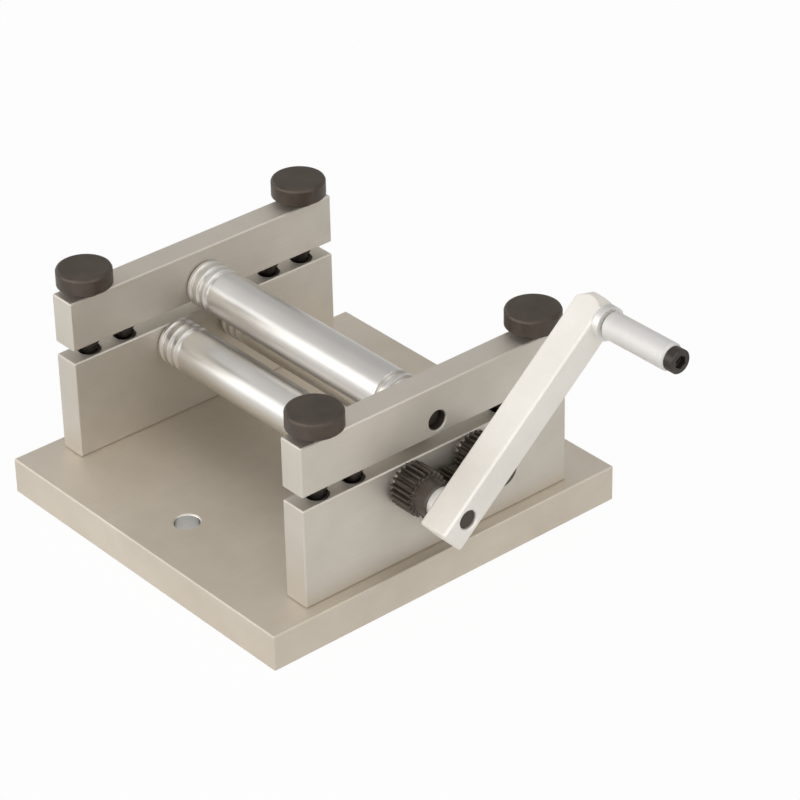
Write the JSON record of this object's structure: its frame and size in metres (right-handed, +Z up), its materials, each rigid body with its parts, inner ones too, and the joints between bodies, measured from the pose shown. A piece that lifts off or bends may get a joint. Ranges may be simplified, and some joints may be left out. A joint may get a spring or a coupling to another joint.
{
  "type": "slip roll machine",
  "caption": "Bench slip roll that bends thin sheet metal between ground rolls, with geared lower rolls, a hand crank and thumbscrews that set the upper roll.",
  "frame": {"origin": "centre of the base plate's underside", "axes": "+X along the rolls towards the crank, +Y to the back, where the rolled work leaves, +Z up"},
  "size_m": [0.2386, 0.176, 0.119],
  "materials": {
    "satin_aluminium": "satin, fine brushed",
    "bright_aluminium": "bright satin",
    "ground_steel": "ground and polished",
    "black_steel": "black oxide, satin",
    "grip_aluminium": "satin, pale",
    "spring_steel": "dark oiled wire"
  },
  "bodies": {
    "frame": {"base_plate": "satin_aluminium", "left_side_plate": "satin_aluminium", "right_side_plate": "satin_aluminium", "side_plate_screws": "black_steel", "guide_pins": "black_steel", "pressure_springs": "spring_steel", "idler_shoulder_screw": "black_steel", "thrust_washers": "ground_steel"},
    "carriage": {"left_upper_bar": "satin_aluminium", "right_upper_bar": "satin_aluminium"},
    "front_left_knob": {"front_left_thumbscrew": "black_steel"},
    "front_right_knob": {"front_right_thumbscrew": "black_steel"},
    "rear_left_knob": {"rear_left_thumbscrew": "black_steel"},
    "rear_right_knob": {"rear_right_thumbscrew": "black_steel"},
    "upper_roll": {"upper_roll": "ground_steel"},
    "crank": {"front_lower_roll": "ground_steel", "front_gear": "black_steel", "front_gear_set_screw": "black_steel", "crank_spacer": "ground_steel", "crank_arm": "bright_aluminium", "crank_set_screw": "black_steel", "handle_screw": "black_steel", "handle_washer": "ground_steel"},
    "rear_roll": {"rear_lower_roll": "ground_steel", "rear_gear": "black_steel", "rear_gear_set_screw": "black_steel"},
    "idler": {"idler_gear": "black_steel"},
    "grip": {"handle_grip": "grip_aluminium"}
  },
  "joints": [
    {"name": "upper_roll_lift", "type": "slide", "parent": "frame", "child": "carriage", "axis": [0, 0, 1], "range_m": [-0.0054, 0.005], "deforming": ["pressure_springs"]},
    {"name": "front_left_turn", "type": "hinge", "parent": "carriage", "child": "front_left_knob", "pos_m": [-0.072, -0.055, 0.0877], "axis": [0, 0, 1], "range_deg": [-1980, 1836]},
    {"name": "front_right_turn", "type": "hinge", "parent": "carriage", "child": "front_right_knob", "pos_m": [0.072, -0.055, 0.0877], "axis": [0, 0, 1], "range_deg": [-1980, 1836]},
    {"name": "rear_left_turn", "type": "hinge", "parent": "carriage", "child": "rear_left_knob", "pos_m": [-0.072, 0.055, 0.0877], "axis": [0, 0, 1], "range_deg": [-1980, 1836]},
    {"name": "rear_right_turn", "type": "hinge", "parent": "carriage", "child": "rear_right_knob", "pos_m": [0.072, 0.055, 0.0877], "axis": [0, 0, 1], "range_deg": [-1980, 1836]},
    {"name": "upper_roll_spin", "type": "hinge", "parent": "carriage", "child": "upper_roll", "pos_m": [0, 0, 0.0721], "axis": [1, 0, 0], "continuous": true},
    {"name": "crank_turn", "type": "hinge", "parent": "frame", "child": "crank", "pos_m": [0, -0.0162, 0.0513], "axis": [1, 0, 0], "continuous": true},
    {"name": "idler_spin", "type": "hinge", "parent": "frame", "child": "idler", "pos_m": [0.085, 0, 0.03957], "axis": [1, 0, 0], "continuous": true},
    {"name": "rear_roll_spin", "type": "hinge", "parent": "frame", "child": "rear_roll", "pos_m": [0, 0.0162, 0.0513], "axis": [1, 0, 0], "continuous": true},
    {"name": "grip_spin", "type": "hinge", "parent": "crank", "child": "grip", "pos_m": [0.1337, 0.05315, 0.11053], "axis": [1, 0, 0], "continuous": true}
  ],
  "couplings": [
    {"joint": "front_left_turn", "follows": "upper_roll_lift", "rad_per_m": 6283.2},
    {"joint": "front_right_turn", "follows": "upper_roll_lift", "rad_per_m": 6283.2},
    {"joint": "rear_left_turn", "follows": "upper_roll_lift", "rad_per_m": 6283.2},
    {"joint": "rear_right_turn", "follows": "upper_roll_lift", "rad_per_m": 6283.2},
    {"joint": "idler_spin", "follows": "crank_turn", "ratio": -0.78571},
    {"joint": "rear_roll_spin", "follows": "crank_turn", "ratio": 1}
  ]
}
